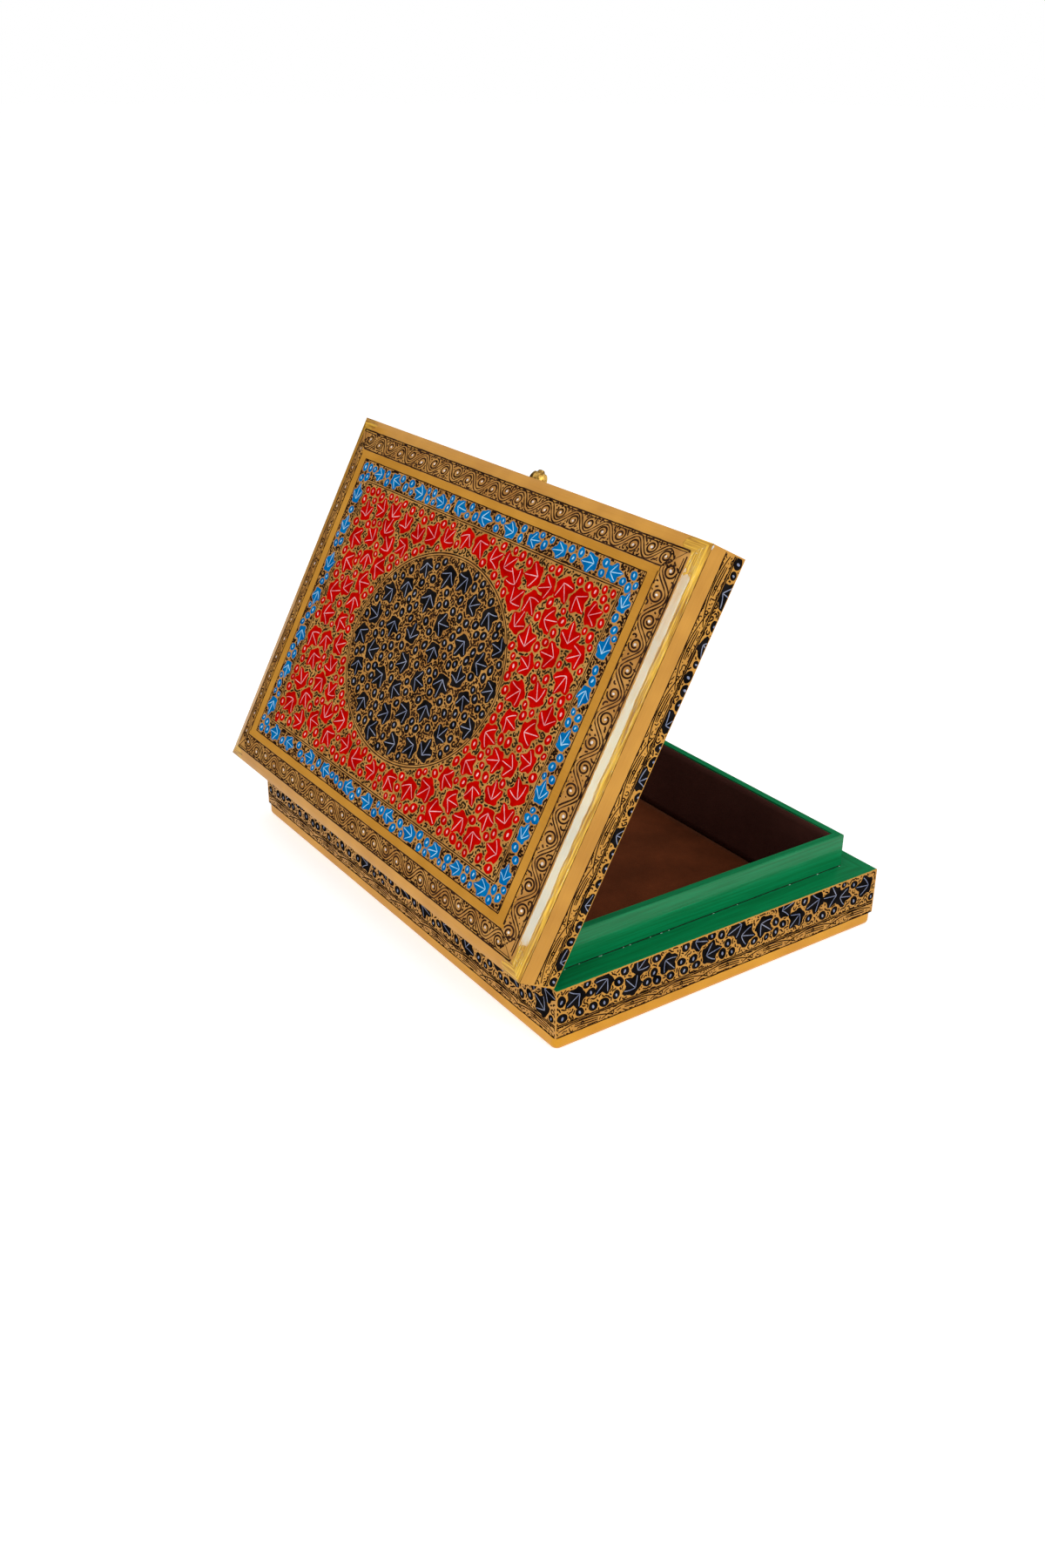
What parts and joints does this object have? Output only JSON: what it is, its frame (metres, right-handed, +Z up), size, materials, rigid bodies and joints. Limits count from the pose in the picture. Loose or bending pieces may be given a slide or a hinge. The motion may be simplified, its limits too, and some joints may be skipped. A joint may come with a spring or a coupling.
{
  "type": "lidded keepsake box",
  "caption": "Rectangular hinged keepsake box of lacquered wood with a painted vine ornament, an inner lip, a velvet lining and a brass loop clasp.",
  "frame": {"origin": "centre of the underside of the base board", "axes": "+X along the hinge, the hinge side of the box is +Y, the clasp side is -Y, +Z up; the lid stands open at rest"},
  "size_m": [0.254, 0.2004, 0.1979],
  "materials": {
    "gold_lacquer": "glossy hand-painted lacquer",
    "green_lacquer": "glossy lacquer",
    "dark_velvet": "velvet pile",
    "brass": "pressed and polished"
  },
  "bodies": {
    "base": {"base_board": "gold_lacquer", "base_front_wall": "gold_lacquer", "base_back_wall": "gold_lacquer", "base_left_wall": "gold_lacquer", "base_right_wall": "gold_lacquer", "lip_front": "green_lacquer", "lip_back": "green_lacquer", "lip_left": "green_lacquer", "lip_right": "green_lacquer", "floor_velvet": "dark_velvet", "front_velvet": "dark_velvet", "back_velvet": "dark_velvet", "left_velvet": "dark_velvet", "right_velvet": "dark_velvet", "left_hinge_base_leaf": "brass", "right_hinge_base_leaf": "brass", "left_hinge_pin": "brass", "right_hinge_pin": "brass", "base_hinge_screws": "brass", "catch_plate": "brass", "catch_nails": "brass"},
    "lid": {"lid_top_panel": "gold_lacquer", "lid_front_wall": "gold_lacquer", "lid_back_wall": "gold_lacquer", "lid_left_wall": "gold_lacquer", "lid_right_wall": "gold_lacquer", "lid_velvet": "dark_velvet", "left_hinge_lid_leaf": "brass", "right_hinge_lid_leaf": "brass", "lid_hinge_screws": "brass", "clasp_strike": "brass", "strike_nails": "brass"},
    "loop": {"clasp_loop": "brass"}
  },
  "joints": [
    {"name": "lid_hinge", "type": "hinge", "parent": "base", "child": "lid", "pos_m": [0, 0.0915, 0.02865], "axis": [-1, 0, 0], "range_deg": [-62.2, 42.8]},
    {"name": "loop_hinge", "type": "hinge", "parent": "base", "child": "loop", "pos_m": [0, -0.09145, 0.024], "axis": [-1, 0, 0], "range_deg": [-3, 178]}
  ]
}
